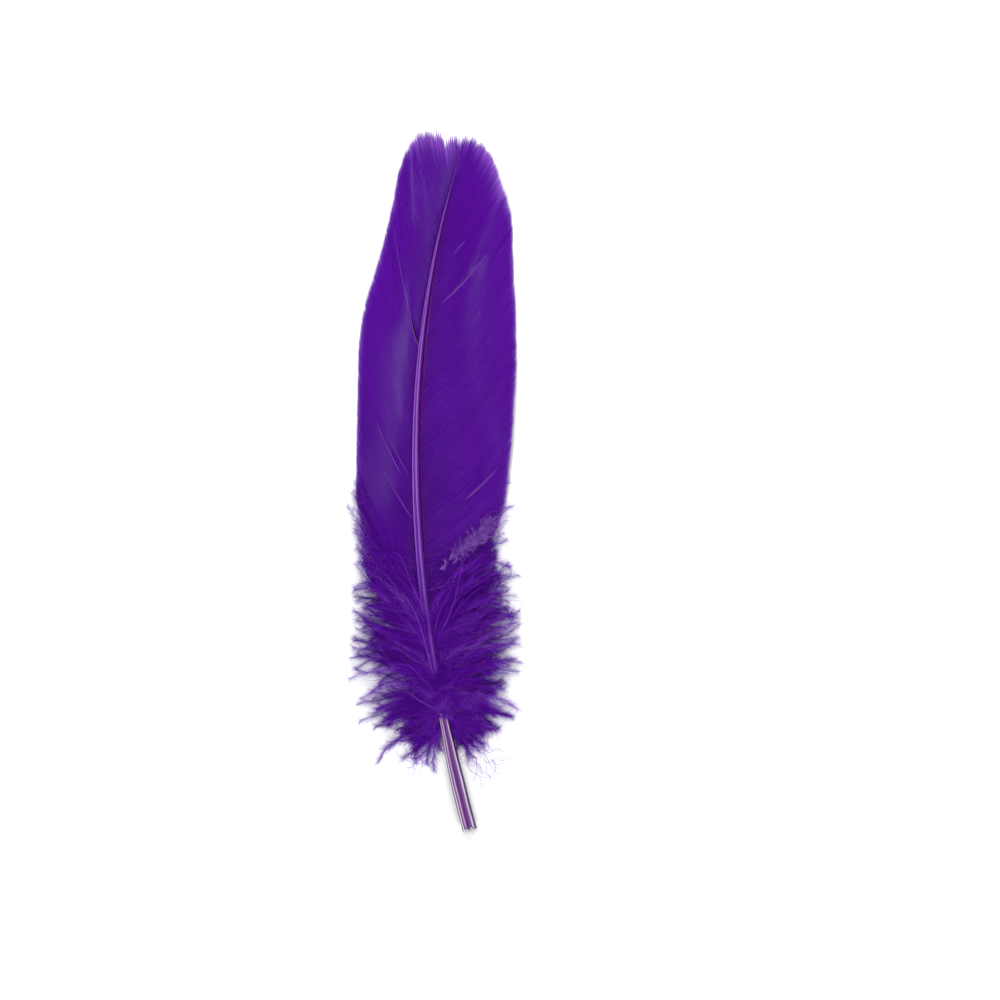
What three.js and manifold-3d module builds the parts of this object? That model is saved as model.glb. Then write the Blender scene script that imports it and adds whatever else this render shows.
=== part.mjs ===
// A dyed goose quill feather lying on a flat surface, outer face up.
// Millimetres. +Z is up, +Y runs from the quill's cut end to the tip, and the surface is z = 0.
// It grew as one piece, so the shaft, both vanes and the down are joined into one solid.
import * as THREE from "three";
import Module from "manifold-3d";

const wasm = await Module();
wasm.setup();

const { clamp, lerp, smoothstep, degToRad } = THREE.MathUtils;

// Shaft: the bare quill at the bottom, the rachis above it
const QUILL_END_Y = -89.7;
const SHAFT_TIP_Y = 82.2;
const SHAFT_BOW_X = [8.2, -7.1, -11.8, 5.4]; // sideways bow, at equal steps from end to tip
const QUILL_HALF_WIDTH = 1.9;
const QUILL_WALL = 0.36;
const HOLLOW_END_Y = -62; // where the quill's hollow closes
const HOLLOW_END_HALF_WIDTH = 0.15;
const HOLLOW_STATIONS = 8;
const HOLLOW_OVERRUN = 2; // past the cut end, so that the hollow opens there
const QUILL_TAPER_Y = -80; // where the quill starts to narrow
const COLLAR_Y = -60; // where the rachis starts
const RACHIS_HALF_WIDTH = 1.27;
const RACHIS_TAPER = 0.7;
const RACHIS_SQUARENESS = 3; // superellipse power of the rachis, 2 being round
const SHAFT_TIP_HALF_WIDTH = 0.3;
const SHAFT_SIDES = 12;
const SHAFT_STATIONS = 32;
const CUT_RAGGEDNESS = 0.7;

// The shaft's arch over the surface
const ARCH_HEIGHT = 6.5;
const FLAT_END_Y = -68; // the quill lies flat up to here
const ARCH_END_Y = 96; // where the arch would meet the surface again

// Vanes: one row per barb that shapes the outline, as [root y on the shaft, tip x, tip y]
const RIGHT_BARBS = [
  [-37, 15.4, -23.6],
  [-28.5, 14.6, -15.6],
  [-20.8, 18.2, -2.7],
  [2.5, 20.5, 29.6],
  [28.3, 19.8, 57.2],
  [41.2, 19.2, 68.6],
  [52.8, 16.9, 77.1],
  [63.1, 14, 84.2],
  [72.2, 9.6, 88.7],
  [79.6, 4.9, 89.3],
];
const LEFT_BARBS = [
  [-41.4, -19.5, -20.8],
  [-31.1, -21.2, -4],
  [-9.2, -20.8, 22.6],
  [5, -19.8, 41.2],
  [20.5, -15.6, 56.2],
  [33.4, -11.9, 70.9],
  [48.9, -10.2, 79.9],
  [61.8, -7, 87.6],
  [70.9, -2.6, 90.7],
  [79.6, 4.7, 89.1],
];
const BARB_BEND = 0.1; // how far a barb's middle bows outwards, as a share of its reach
const VANE_THICKNESS = 0.5;
const VANE_SEAT = 0.1; // height of the vane's root on the shaft, in half heights over its axis
const VANE_ROOT = 0.4; // the vane's inner edge, in half widths from the axis
const CAMBER_POWER = 1.7;
const EDGE_WAVE = 1.2; // height of the waves along the vane's edge
const EDGE_WAVES = 2.6;
const WAVE_START = { right: 0.55, left: 0.2 }; // in waves
const LOCKS_PER_SIDE = 18;
const LOCK_COLUMNS = [0, 0.2, 0.5, 0.8]; // places across one lock
const LOCK_NOTCH = 0.5; // depth of the notch between two locks
const TIP_NOTCH = 1.3; // the same near the feather's tip
const TIP_PLACE = [0.75, 0.95]; // where along the vane the notches deepen
const TIP_BITE = { x: 1.55, halfWidth: 0.7, depth: 2.6 }; // a gap in the left vane's tip
const EDGE_RAGGEDNESS = 0.4;
const VANE_ROWS = 6;

// Down: fluffy locks round the foot of the rachis, in two layers
const DOWN_LOCKS = 8; // on each side, in each layer
const DOWN_LOW_Y = -60;
const DOWN_HIGH_Y = -31;
const DOWN_LOW_ANGLE = 152; // from +Y, so the lowest locks point back along the quill
const DOWN_HIGH_ANGLE = 44;
const DOWN_REACH = { right: 26.2, left: 21.8 };
const DOWN_LOW_REACH = 0.62; // the lowest lock's reach, as a share
const DOWN_WIDTH = 5.2;
const DOWN_THICKNESS = 1.1;
const DOWN_CURL = 0.16;
const DOWN_SCATTER = { root: 1.5, angle: 10, reach: 0.12 };
const DOWN_LAYERS = [
  { rise: 0.4, tipHeight: 0.5, reach: 1, turn: 0 },
  { rise: 3.6, tipHeight: 2.4, reach: 0.86, turn: -9 },
];
const DOWN_SIDES = 6;
const DOWN_STATIONS = 6;

const JOIN_TOLERANCE = 0.01; // edges shorter than this close up when pieces join
const DYED_PURPLE = new THREE.Color(0x561296);

// A steady pseudo-random number from 0 to 1 for a whole number.
function jitter(seed) {
  const s = Math.sin(seed * 12.9898) * 43758.5453;
  return s - Math.floor(s);
}

// A solid from vertices and triangles that share them.
function solid(vertices, triangles) {
  const vertProperties = new Float32Array(vertices.flatMap((p) => p.toArray()));
  const triVerts = new Uint32Array(triangles.flat());
  const mesh = new wasm.Mesh({ numProp: 3, vertProperties, triVerts, tolerance: JOIN_TOLERANCE });
  return new wasm.Manifold(mesh);
}

// A closed tube through rings of equal point counts.
function tube(rings) {
  const sides = rings[0].length;
  const vertices = rings.flat();
  const triangles = [];
  for (let i = 0; i + 1 < rings.length; i++) {
    for (let k = 0; k < sides; k++) {
      const a = i * sides + k;
      const b = i * sides + ((k + 1) % sides);
      triangles.push([a, b, b + sides], [a, b + sides, a + sides]);
    }
  }
  const last = (rings.length - 1) * sides;
  for (let k = 1; k + 1 < sides; k++) {
    triangles.push([0, k + 1, k], [last, last + k, last + k + 1]);
  }
  return solid(vertices, triangles);
}

// A closed plate between two grids of points, grid[column][row], the upper one over the lower one.
function plate(upper, lower) {
  const columns = upper.length;
  const rows = upper[0].length;
  const vertices = [...upper.flat(), ...lower.flat()];
  const top = (i, j) => i * rows + j;
  const bottom = (i, j) => columns * rows + i * rows + j;
  const triangles = [];
  const quad = (a, b, c, d) => triangles.push([a, b, c], [a, c, d]);
  for (let i = 0; i + 1 < columns; i++) {
    for (let j = 0; j + 1 < rows; j++) {
      quad(top(i, j), top(i, j + 1), top(i + 1, j + 1), top(i + 1, j));
      quad(bottom(i, j), bottom(i + 1, j), bottom(i + 1, j + 1), bottom(i, j + 1));
    }
    quad(top(i, 0), top(i + 1, 0), bottom(i + 1, 0), bottom(i, 0));
    quad(bottom(i, rows - 1), bottom(i + 1, rows - 1), top(i + 1, rows - 1), top(i, rows - 1));
  }
  for (let j = 0; j + 1 < rows; j++) {
    quad(bottom(0, j), bottom(0, j + 1), top(0, j + 1), top(0, j));
    const end = columns - 1;
    quad(top(end, j), top(end, j + 1), bottom(end, j + 1), bottom(end, j));
  }
  return solid(vertices, triangles);
}

// Shaft
const shaftPlan = new THREE.CubicBezierCurve(
  ...SHAFT_BOW_X.map((x, i) => new THREE.Vector2(x, lerp(QUILL_END_Y, SHAFT_TIP_Y, i / 3))),
);

function alongShaft(y) {
  return (y - QUILL_END_Y) / (SHAFT_TIP_Y - QUILL_END_Y);
}

function shaftHalfWidth(y) {
  const along = clamp((y - COLLAR_Y) / (SHAFT_TIP_Y - COLLAR_Y), 0, 1);
  const rachis = Math.max(SHAFT_TIP_HALF_WIDTH, RACHIS_HALF_WIDTH * (1 - along) ** RACHIS_TAPER);
  return lerp(QUILL_HALF_WIDTH, rachis, smoothstep(y, QUILL_TAPER_Y, COLLAR_Y));
}

// Height of the arch, so of the shaft's flat underside, over the surface.
function archHeight(y) {
  const along = clamp((y - FLAT_END_Y) / (ARCH_END_Y - FLAT_END_Y), 0, 1);
  return ARCH_HEIGHT * Math.sin(Math.PI * along) ** 2;
}

// The ring's lowest points lie half a side away from straight down.
const FLAT_SHARE = Math.cos(Math.PI / SHAFT_SIDES);

function shaftAxisHeight(y) {
  return FLAT_SHARE * shaftHalfWidth(y) + archHeight(y);
}

// A ring of the shaft at y. inset thins it, and slip moves each of its points along the shaft.
function shaftRing(y, inset = 0, slip = () => 0) {
  const centre = shaftPlan.getPoint(alongShaft(y));
  const way = shaftPlan.getTangent(alongShaft(y));
  const half = shaftHalfWidth(y) - inset;
  const power = lerp(2, RACHIS_SQUARENESS, smoothstep(y, QUILL_TAPER_Y, COLLAR_Y));
  const bulge = (c) => Math.sign(c) * Math.abs(c) ** (2 / power);
  return Array.from({ length: SHAFT_SIDES }, (_, k) => {
    const angle = ((k + 0.5) / SHAFT_SIDES) * 2 * Math.PI;
    const side = half * bulge(Math.cos(angle));
    const rise = half * Math.sin(angle);
    return new THREE.Vector3(
      centre.x - way.y * side + way.x * slip(k),
      centre.y + way.x * side + way.y * slip(k),
      shaftAxisHeight(y) + rise,
    );
  });
}

function makeShaft() {
  const ragged = (k) => CUT_RAGGEDNESS * (jitter(k + 5) - 0.5);
  const rings = Array.from({ length: SHAFT_STATIONS + 1 }, (_, i) =>
    shaftRing(lerp(QUILL_END_Y, SHAFT_TIP_Y, i / SHAFT_STATIONS), 0, i ? undefined : ragged),
  );
  return tube(rings);
}

// The hollow of the quill, open at its cut end and closing to a blunt cone.
function makeHollow() {
  const rings = Array.from({ length: HOLLOW_STATIONS + 1 }, (_, i) => {
    const y = lerp(QUILL_END_Y - HOLLOW_OVERRUN, HOLLOW_END_Y, i / HOLLOW_STATIONS);
    const closing = smoothstep(i, HOLLOW_STATIONS - 2, HOLLOW_STATIONS);
    return shaftRing(y, lerp(QUILL_WALL, shaftHalfWidth(y) - HOLLOW_END_HALF_WIDTH, closing));
  });
  return tube(rings);
}

// Vanes
// The barb at place q of a vane, 0 at its foot and 1 at its top, as a line in plan from shaft to edge.
function barbLine(barbs, q) {
  const rows = barbs.map(([rootY, tipX, tipY]) => new THREE.Vector3(tipX, tipY, rootY));
  const between = new THREE.CatmullRomCurve3(rows, false, "catmullrom", 0.5);
  const { x: tipX, y: tipY, z: rootY } = between.getPoint(q);
  const side = Math.sign(barbs[0][1]);
  const root = shaftPlan.getPoint(alongShaft(rootY));
  root.x += side * VANE_ROOT * shaftHalfWidth(rootY);
  const tip = new THREE.Vector2(tipX, tipY);
  const middle = new THREE.Vector2(
    lerp(root.x, tip.x, 0.5 + BARB_BEND),
    lerp(root.y, tip.y, 0.5 - BARB_BEND),
  );
  return { rootY, reach: root.distanceTo(tip), line: new THREE.QuadraticBezierCurve(root, middle, tip) };
}

// Height of the vane's middle surface at place q along it and share v of the way from shaft to edge.
function vaneHeight(side, rootY, q, v) {
  const root = shaftAxisHeight(rootY) + VANE_SEAT * shaftHalfWidth(rootY);
  const start = side > 0 ? WAVE_START.right : WAVE_START.left;
  const wave = Math.sin(2 * Math.PI * (EDGE_WAVES * q + start));
  const edge = VANE_THICKNESS / 2 + EDGE_WAVE * Math.max(0, wave);
  return lerp(root, edge, v ** CAMBER_POWER);
}

// How far the barb at place q, with its tip at x, stays back from the vane's outline.
function notchDepth(side, q, x) {
  const lock = Math.floor(q * LOCKS_PER_SIDE + 0.5);
  const place = q * LOCKS_PER_SIDE + 0.5 - lock;
  const nearTip = smoothstep(q, ...TIP_PLACE);
  const between = lerp(LOCK_NOTCH, TIP_NOTCH, nearTip) * Math.abs(2 * place - 1) ** 3;
  const ragged = EDGE_RAGGEDNESS * jitter(lock + LOCKS_PER_SIDE * side);
  const bitten = Math.exp(-(((x - TIP_BITE.x) / TIP_BITE.halfWidth) ** 2));
  const bite = side < 0 ? TIP_BITE.depth * nearTip * bitten : 0;
  return between + ragged + bite;
}

function makeVane(barbs) {
  const side = Math.sign(barbs[0][1]);
  const upper = [];
  const lower = [];
  const addColumn = (q) => {
    const { rootY, reach, line } = barbLine(barbs, q);
    const end = 1 - notchDepth(side, q, line.v2.x) / reach;
    const column = Array.from({ length: VANE_ROWS + 1 }, (_, j) => {
      const v = (end * j) / VANE_ROWS;
      const { x, y } = line.getPoint(v);
      return new THREE.Vector3(x, y, vaneHeight(side, rootY, q, v));
    });
    const half = VANE_THICKNESS / 2;
    upper.push(column.map((p) => p.clone().setZ(Math.max(p.z + half, VANE_THICKNESS))));
    lower.push(column.map((p) => p.clone().setZ(Math.max(p.z - half, 0))));
  };
  // The first and the last lock are half ones.
  for (let lock = 0; lock <= LOCKS_PER_SIDE; lock++) {
    LOCK_COLUMNS.map((place) => (lock + place - 0.5) / LOCKS_PER_SIDE)
      .filter((q) => q >= 0 && q <= 1)
      .forEach(addColumn);
  }
  // Going up the vane with rows running outwards turns one way on the right and the other on the left.
  return side > 0 ? plate(upper, lower) : plate(upper.reverse(), lower.reverse());
}

// Down
// A flat spindle from the shaft out to its tip: one fluffy lock.
function makeDownLock(side, place, layer, seed) {
  const rootY = lerp(DOWN_LOW_Y, DOWN_HIGH_Y, place) + DOWN_SCATTER.root * (jitter(seed) - 0.5);
  const turned = layer.turn + DOWN_SCATTER.angle * (jitter(seed + 1) - 0.5);
  const angle = degToRad(lerp(DOWN_LOW_ANGLE, DOWN_HIGH_ANGLE, place) + turned);
  const fullReach = side > 0 ? DOWN_REACH.right : DOWN_REACH.left;
  const share = lerp(DOWN_LOW_REACH, 1, smoothstep(place, 0, 0.4));
  const reach = fullReach * share * layer.reach * (1 - DOWN_SCATTER.reach * jitter(seed + 2));
  const root = shaftPlan.getPoint(alongShaft(rootY));
  const way = new THREE.Vector2(side * Math.sin(angle), Math.cos(angle));
  const across = new THREE.Vector2(-way.y, way.x);
  const tip = root.clone().addScaledVector(way, reach);
  const middle = root.clone().lerp(tip, 0.5).addScaledVector(across, -side * DOWN_CURL * reach);
  const line = new THREE.QuadraticBezierCurve(root, middle, tip);
  const rootHeight = shaftAxisHeight(rootY);
  const rings = Array.from({ length: DOWN_STATIONS + 1 }, (_, i) => {
    const v = i / DOWN_STATIONS;
    const centre = line.getPoint(v);
    const tangent = line.getTangent(v);
    const swell = Math.sin(Math.PI * (0.12 + 0.82 * v)) ** 0.8;
    const halfWidth = (DOWN_WIDTH / 2) * swell;
    const halfThick = (DOWN_THICKNESS / 2) * swell;
    const height = lerp(rootHeight, layer.tipHeight, v * v) + layer.rise * Math.sin(Math.PI * v);
    return Array.from({ length: DOWN_SIDES }, (_, k) => {
      const turn = ((k + 0.5) / DOWN_SIDES) * 2 * Math.PI;
      const offset = halfWidth * Math.cos(turn);
      return new THREE.Vector3(
        centre.x - tangent.y * offset,
        centre.y + tangent.x * offset,
        Math.max(0, height + halfThick * Math.sin(turn)),
      );
    });
  });
  return tube(rings);
}

function makeDown() {
  const locks = [];
  DOWN_LAYERS.forEach((layer, level) => {
    for (const side of [1, -1]) {
      for (let k = 0; k < DOWN_LOCKS; k++) {
        const place = (k + 0.5 * level) / (DOWN_LOCKS - 1 + 0.5 * level);
        locks.push(makeDownLock(side, place, layer, 100 * level + 10 * k + 3 * side));
      }
    }
  });
  return locks;
}

// A three.js geometry of a solid.
function geometryOf(body) {
  const { vertProperties, triVerts, numProp } = body.getMesh();
  const geometry = new THREE.BufferGeometry();
  geometry.setAttribute("position", new THREE.BufferAttribute(new Float32Array(vertProperties), numProp));
  geometry.setIndex(new THREE.BufferAttribute(new Uint32Array(triVerts), 1));
  geometry.computeVertexNormals();
  return geometry;
}

const grown = [makeVane(RIGHT_BARBS), makeVane(LEFT_BARBS), ...makeDown()];
const joined = grown
  .reduce((whole, piece) => whole.add(piece), makeShaft())
  .subtract(makeHollow());
// Overlapping locks close off small pockets between them: the outer body alone is the feather.
const feather = joined.decompose().reduce((a, b) => (b.volume() > a.volume() ? b : a));

const featherMesh = new THREE.Mesh(
  geometryOf(feather),
  new THREE.MeshStandardMaterial({ color: DYED_PURPLE, roughness: 0.55, metalness: 0 }),
);
featherMesh.name = "feather";

const group = new THREE.Group();
group.add(featherMesh);

export default group;
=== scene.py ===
"""A dyed goose quill feather on a pale floor: barbs, down, shaft and bare quill as meshes.

Sizes are in millimetres and are scaled to metres as each mesh is made. +Y runs to the tip, +Z is up.
"""

import math

import bpy
import numpy as np
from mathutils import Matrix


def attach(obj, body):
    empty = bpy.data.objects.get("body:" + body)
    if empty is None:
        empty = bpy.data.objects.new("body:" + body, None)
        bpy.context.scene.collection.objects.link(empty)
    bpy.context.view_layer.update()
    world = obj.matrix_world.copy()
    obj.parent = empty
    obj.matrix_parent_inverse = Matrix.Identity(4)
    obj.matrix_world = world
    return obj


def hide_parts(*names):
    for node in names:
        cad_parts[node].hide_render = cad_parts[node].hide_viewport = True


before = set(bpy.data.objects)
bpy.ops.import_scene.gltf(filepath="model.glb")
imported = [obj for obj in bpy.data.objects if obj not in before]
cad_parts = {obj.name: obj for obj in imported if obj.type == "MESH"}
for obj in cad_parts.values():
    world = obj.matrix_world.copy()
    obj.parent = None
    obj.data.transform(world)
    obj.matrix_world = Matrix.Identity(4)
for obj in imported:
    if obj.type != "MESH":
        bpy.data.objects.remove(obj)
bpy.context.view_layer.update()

MM = 0.001
rng = np.random.default_rng(11)

# Shaft: the solid's line and widths, with a finer tip
QUILL_END_Y = -89.7
SHAFT_TIP_Y = 82.2
SHAFT_BOW_X = (8.2, -7.1, -11.8, 5.4)
QUILL_HALF_WIDTH = 1.9
QUILL_WALL = 0.36
QUILL_TAPER_Y = -80
COLLAR_Y = -60
RACHIS_HALF_WIDTH = 1.27
RACHIS_TAPER = 0.7
SHAFT_TIP_HALF_WIDTH = 0.12
FLAT_SHARE = 0.966
ARCH_HEIGHT = 6.5
FLAT_END_Y = -68
ARCH_END_Y = 96
SHAFT_SIDES = 48
QUILL_TOP_Y = -60  # the clear quill ends here, hidden in the down
QUILL_STATIONS = 60
BORE_CLOSING = (8, 1)  # the bore narrows between these distances below the quill's top
BORE_END = 0.1
BORE_FLOOR = 0.8  # the wall's share left under the bore
RIM_WAVE = 0.5  # how far the cut end's waves reach, their step and start in radians, and its tears
RIM_WAVE_STEP = 0.9
RIM_WAVE_START = 0.6
RIM_TEAR = 0.35
RIM_TEAR_SEED = 3
RACHIS_STATIONS = 150
RACHIS_FOOT = (3, 2)  # the rachis swells from below the quill's top to above it
RACHIS_FOOT_SHARE = 0.5
SQUARENESS = (2, 2.8)  # of the section: round in the quill, boxy in the rachis
GROOVE_DEPTH = 0.1  # a share of the half width, along the shaft's back
GROOVE_ANGLE = 0.28

# Vanes: rows of root y, tip x and tip y, as in the solid
RIGHT_BARBS = np.array([
    (-37, 15.4, -23.6),
    (-28.5, 14.6, -15.6),
    (-20.8, 18.2, -2.7),
    (2.5, 20.5, 29.6),
    (28.3, 19.8, 57.2),
    (41.2, 19.2, 68.6),
    (52.8, 16.9, 77.1),
    (63.1, 14, 84.2),
    (72.2, 9.6, 88.7),
    (79.6, 4.9, 89.3),
])
LEFT_BARBS = np.array([
    (-41.4, -19.5, -20.8),
    (-31.1, -21.2, -4),
    (-9.2, -20.8, 22.6),
    (5, -19.8, 41.2),
    (20.5, -15.6, 56.2),
    (33.4, -11.9, 70.9),
    (48.9, -10.2, 79.9),
    (61.8, -7, 87.6),
    (70.9, -2.6, 90.7),
    (79.6, 4.7, 89.1),
])
BARB_BEND = 0.1
VANE_SEAT = 0.1
VANE_ROOT = 0.4
VANE_DROP = 0.16  # the barbs are thinner than the solid's vane, so they sit lower at the edge
VANE_EDGE = 0.25
CAMBER_POWER = 1.7
EDGE_WAVE = 1.2
EDGE_WAVES = 2.6
WAVE_START = {1: 0.55, -1: 0.2}
LOCKS_PER_SIDE = 18
BARBS = {1: 190, -1: 206}
BARB_STATIONS = 32
STATION_POWER = 0.9
BARB_OVERLAP = 1.16
BARB_TURN = 0.025  # in radians
BARB_POINT = 0.06  # the share of its width that a barb ends with
BARB_POINT_POWER = 0.7
BARB_POINT_LENGTH = (1.0, 2.6)  # along the edge and near the feather's tip
BARB_STRAY = 0.03
BARB_UNEVEN = 0.006
LOWEST_BARB = 0.02  # over the floor
NEAR_TIP = (0.75, 0.95)  # where the tip's deeper notches begin, along the outline
NOTCH_DEPTH = (0.3, 1.1)
NOTCH_POWER = 3
LOCK_RAGGED = 0.4
BARB_RAGGED = (0.25, 0.55)
LOCK_CHANCE = 0.11  # that a barb starts a small lock of its own
LOCK_TURN = 0.08
LOCK_LIFT = 0.08
# A barb's section, in half widths across and millimetres up: a flat web with a raised rib
BARB_SECTION = np.array([
    (-1.0, -0.06),
    (1.0, -0.07),
    (1.0, -0.014),
    (0.0, 0.0),
    (-0.5, 0.01),
    (-1.0, 0.0),
])
# Places where a vane has come unzipped: root y, start and end along the barb, gap, lift
SPLITS = {
    1: [
        (41.7, 0.16, 0.66, 0.3, 0.4),
        (52.8, 0.25, 0.42, 0.05, 0.1),
        (-13, 0.45, 0.8, 0.12, 0.4),
        (-29.6, 0.42, 1.0, 1.9, 0.5),
    ],
    -1: [
        (33.4, 0.02, 0.3, 0.45, 0.4),
        (33.4, 0.15, 0.9, 0.1, 0.3),
        (-4.0, 0.2, 0.62, 0.12, 0.35),
        (-1.2, 0.08, 0.4, 0.1, 0.3),
        (-11.2, 0.05, 0.5, 0.12, 0.35),
    ],
}
SPLIT_SPREAD = 3.0
SPLIT_POWER = 1.2
SPLIT_SINK = 0.25  # how far the other side goes down, as a share of the lift
SPLIT_LINE = 0.5  # how pale the bared edge of a split is
SPLIT_LINE_GAP = 0.12  # a narrower split bares less
TIP_BITE = (1.55, 0.7, 2.6)  # a notch at the tip of the left vane: x, half width, depth
PALE_EDGE = {1: (0.5, 0.72), -1: (0.72, 0.9)}  # where the edge's pale band widens, along the outline; the band is partly the thinner barb ends and partly painted light through them
PALE_WIDTH = {1: 1.6, -1: 3.0}  # how wide it gets
PALE_NARROW = 0.4
PALE_UNEVEN = (0.6, 1.2)
PALE_POWER = 1.3
LOOSE_ROOTS = {1: (24, 42), -1: (30, 46)}  # below here, in -y, the barbs come apart and end in down
LOOSE_SHORTER = 0.3
LOOSE_STRAY = 0.8
LOOSE_LIFT = (-0.3, 1.3)
LOOSE_THINNER = 0.6
LOOSE_THINNING = (0.1, 0.7)  # where a loose barb gets thin, along it

# Down: strands that rise beside the shaft and bend outwards, the lowest bursting out sideways.
# They lie under the vanes or over them, and bare hairs lie over both.
DOWN_STRANDS = {"under": 90, "over": 90, "hairs": 34}  # on each side
DOWN_LOW_Y = {"under": -64.5, "over": -60.5, "hairs": -61}  # the lowest roots
DOWN_TOP_Y = {"under": -22, "over": -38, "hairs": -34}  # the highest roots
DOWN_REACH_Y = {"under": 6, "over": -26, "hairs": -19}  # how far up a strand may reach
DOWN_REACH_X = ((0, 0.3, 1), (15, 22.4, 20.5))  # how far out it reaches, for roots from low to high
DOWN_REACH_UNEVEN = (0.6, 1.04)
LEAST_REACH = 0.1
DOWN_RISE = {"under": -0.7, "over": 2.4, "hairs": 4.2}
DOWN_RISE_UNEVEN = (0.5, 1.2)
DOWN_TIP_HEIGHT = {"under": (0.2, 1.0), "over": (0.5, 3.2), "hairs": (2.2, 4.6)}
DOWN_ANGLE = (8, 142)  # in degrees from +Y, beside the shaft and bursting out
DOWN_SWEEP = (50, -6)
DOWN_SWEEP_UNEVEN = 20
DOWN_SWEEP_POWER = 1.3
DOWN_LENGTH = (34, 17)
DOWN_LENGTH_UNEVEN = (0.7, 1.08)
BURST_POWER = 1.35
BURST_TOP = 0.3  # how much the highest strands burst out
WAVE_TURNS = (0.8, 2.4)
WAVE_ANGLE = (6, 26)
WAVE_RISE = 0.5
WAVE_RISE_TURNS = 0.8
DOWN_STATIONS = 24
DOWN_HALF_WIDTH = 0.06
DOWN_LOWEST = 0.15  # over the floor
RAMUS_TAPER = 0.85
BARE_FOOT = 0.04  # the share of a strand that has no barbules
BARBULES = 345  # on each strand
BARBULE_LENGTH = 3.5
BARBULE_UNEVEN = (0.4, 1.2)
BARBULE_SHRINK = 0.4  # at the strand's tip
BARBULE_LEAN = (14, 58)  # in degrees from the strand
BARBULE_ROLL = 0.6  # out of the strand's plane, in radians
BARBULE_HALF_WIDTH = 0.027
BARBULE_LOWEST = 0.08
BARBULE_TONE = 0.15
STRAND_LOOSE = 0.6  # how loose, and so how pale, a barbule is for its place on the strand
THREAD_LOOSE = np.array([0, 0, 0, 0.4])  # and at its three foot points and its far point

# Fringe: strands that carry on the lowest barbs of a vane
FRINGE_STRANDS = {1: 22, -1: 38}
FRINGE_ROOTS = {1: 8, -1: 17}  # how far above the vane's foot they start
FRINGE_ROOT_POWER = 1.2
FRINGE_SPAN = (0.35, 0.98)  # along the barb
FRINGE_TURNS = (0.6, 1.4)
FRINGE_STRAY = 1.3
FRINGE_WAVE = 0.5
FRINGE_LIFT = (-0.4, 0.6)
FRINGE_LOWEST = 0.2
FRINGE_BARBULES = 210

# Collar: short strands that cross the shaft where the quill comes out
COLLAR_STRANDS = 90
COLLAR_ROOT_Y = (-61.5, -51.5)
COLLAR_FOOT_X = (0, 2)
COLLAR_ANGLE = (-105, 105)
COLLAR_CURL = 40
COLLAR_LENGTH = (5, 11)
COLLAR_SQUEEZE = 0.8  # along the shaft
COLLAR_SEAT = 0.1
COLLAR_RISE = (0.4, 1.9)
COLLAR_RISE_TURN = 0.8
COLLAR_FALL = 1.2
COLLAR_BARBULES = 125

# Foot: strands that lie low on both sides of the quill's top and hang back along it
FOOT_STRANDS = 72
FOOT_ROOT_Y = (-64.5, -56)
FOOT_X = (0.5, 1.5)
FOOT_ANGLE = (96, 158)
FOOT_CURL = (8, 26)  # mean and spread
FOOT_LENGTH = (5, 12)
FOOT_HEIGHT = (0.9, 1.8)
FOOT_FALL = 0.7
FOOT_RIPPLE = 0.2
FOOT_RIPPLE_TURN = 6
FOOT_BARBULES = 225

# Tuft: pale strands that lie on the right vane from here to here, in a band that widens outwards
TUFT_LINE = ((0.2, -23.6), (15.2, -10.4))
TUFT_STRANDS = 130
TUFT_SEAT_POWER = 0.55
TUFT_SPAN = 0.9
TUFT_ANGLE = 0.45
TUFT_CURL = 0.9
TUFT_LENGTH = (1.0, 3.4)
TUFT_BAND = 0.9
TUFT_BAND_FOOT = 0.4
TUFT_BARB_SLOPE = 0.8  # of the barbs under it
TUFT_VANE_WIDTH = 17
TUFT_SEAT = 0.35
TUFT_LIFT = (0.1, 0.8)
TUFT_BARBULES = 55
TUFT_SPREAD = 0.42  # its barbules' length and the threads' girth, as shares of the down's
TUFT_GIRTH = 0.6

# Strays: single curled threads at the foot of the down
STRAYS = 46
STRAY_ROOT_Y = (-73, -64)
STRAY_ROOT_X = (1.8, 10)
STRAY_CURL = 1.8
STRAY_WIGGLE = 0.8
STRAY_WIGGLE_TURN = 10
STRAY_ANGLE = (1.7, 3.0)  # in radians from +Y
STRAY_LENGTH = (4, 10)
STRAY_HEIGHT = 1.6
STRAY_FALL = 1.3
STRAY_RISE = 0.8
STRAY_TAPER = 0.4
STRAY_TONE = (0.6, 1)

UV_NAME = "OFBake"
UV_LOW = 0.001
UV_HIGH = 0.999

# Camera, over the feather as in the photograph
VIEW_WIDTH = 258.2
VIEW_CENTRE = (16.1, -5.3)
LENS = 100
SENSOR = 36

# Floor and lights, in metres and watts
FLOOR_SIZE = 20.0
LIGHTS = {
    "key": ((-0.27, 0.28, 0.87), 0.14, 2.4),
    "side": ((-0.4, 0.14, 0.87), 0.14, 1.8),
    "glint": ((0.29, 0.31, 0.87), 0.08, 0.85),
    "fill": ((0.75, -0.85, 0.5), 0.7, 10.8),
    "wash": ((-0.75, -0.85, 0.5), 0.7, 7.7),
    "far": ((0.0, 1.0, 0.65), 0.7, 10.5),
}
WORLD_STRENGTH = 0.06


def lerp(a, b, t):
    return a + (b - a) * t


def smoothstep(x, low, high):
    t = np.clip((np.asarray(x, float) - low) / (high - low), 0, 1)
    return t * t * (3 - 2 * t)


def jitter(seed):
    s = np.sin(seed * 12.9898) * 43758.5453
    return s - np.floor(s)


def unit(v):
    return v / np.maximum(np.linalg.norm(v, axis=-1, keepdims=True), 1e-12)


# Shaft line
def shaft_along(y):
    return (np.asarray(y, float) - QUILL_END_Y) / (SHAFT_TIP_Y - QUILL_END_Y)


def shaft_x(y):
    t = shaft_along(y)
    s = 1 - t
    a, b, c, d = SHAFT_BOW_X
    return a * s**3 + 3 * b * s * s * t + 3 * c * s * t * t + d * t**3


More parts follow.
